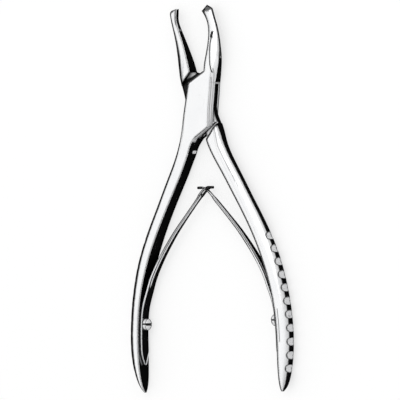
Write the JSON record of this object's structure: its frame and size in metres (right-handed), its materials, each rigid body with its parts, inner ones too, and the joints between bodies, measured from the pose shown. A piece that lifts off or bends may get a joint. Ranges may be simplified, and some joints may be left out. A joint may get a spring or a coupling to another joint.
{
  "type": "bone rongeur",
  "caption": "Single-action bone rongeur with a box-lock joint, narrow hooked and cupped jaws, ribbed finger grips and a double leaf spring that holds it open.",
  "frame": {"origin": "on the axis of the box-lock pin, in the plane of the rear cheek that the instrument rests on", "axes": "+Y along the middle line towards the jaws, +X to the right seen from the front, +Z out of the front cheek"},
  "size_m": [0.0884, 0.1781, 0.0084],
  "materials": {
    "polished_steel": "mirror-polished stainless steel with fine handling marks",
    "spring_steel": "polished stainless spring steel, brushed along its length",
    "screw_steel": "turned and polished stainless steel"
  },
  "bodies": {
    "female": {"female_half": "polished_steel", "lock_pin": "polished_steel", "left_spring_root": "spring_steel", "left_spring_screw": "screw_steel"},
    "male": {"male_half": "polished_steel", "right_spring_root": "spring_steel", "right_spring_screw": "screw_steel"},
    "left_leaf": {"left_spring_blade": "spring_steel"},
    "right_leaf": {"right_spring_blade": "spring_steel"}
  },
  "joints": [
    {"name": "box_lock", "type": "hinge", "parent": "female", "child": "male", "pos_m": [0, 0, 0.0042], "axis": [0, 0, -1], "range_deg": [0, 20], "stiffness_Nm_per_rad": 1.5, "springref_deg": -2.86},
    {"name": "left_flex", "type": "hinge", "parent": "female", "child": "left_leaf", "pos_m": [-0.0342, -0.088, 0.0042], "axis": [0, 0, 1], "range_deg": [0, 7.6]},
    {"name": "right_flex", "type": "hinge", "parent": "male", "child": "right_leaf", "pos_m": [0.0342, -0.088, 0.0042], "axis": [0, 0, -1], "range_deg": [0, 7.6]}
  ],
  "couplings": [
    {"joint": "left_flex", "follows": "box_lock", "ratio": 0.38},
    {"joint": "right_flex", "follows": "box_lock", "ratio": 0.38}
  ]
}
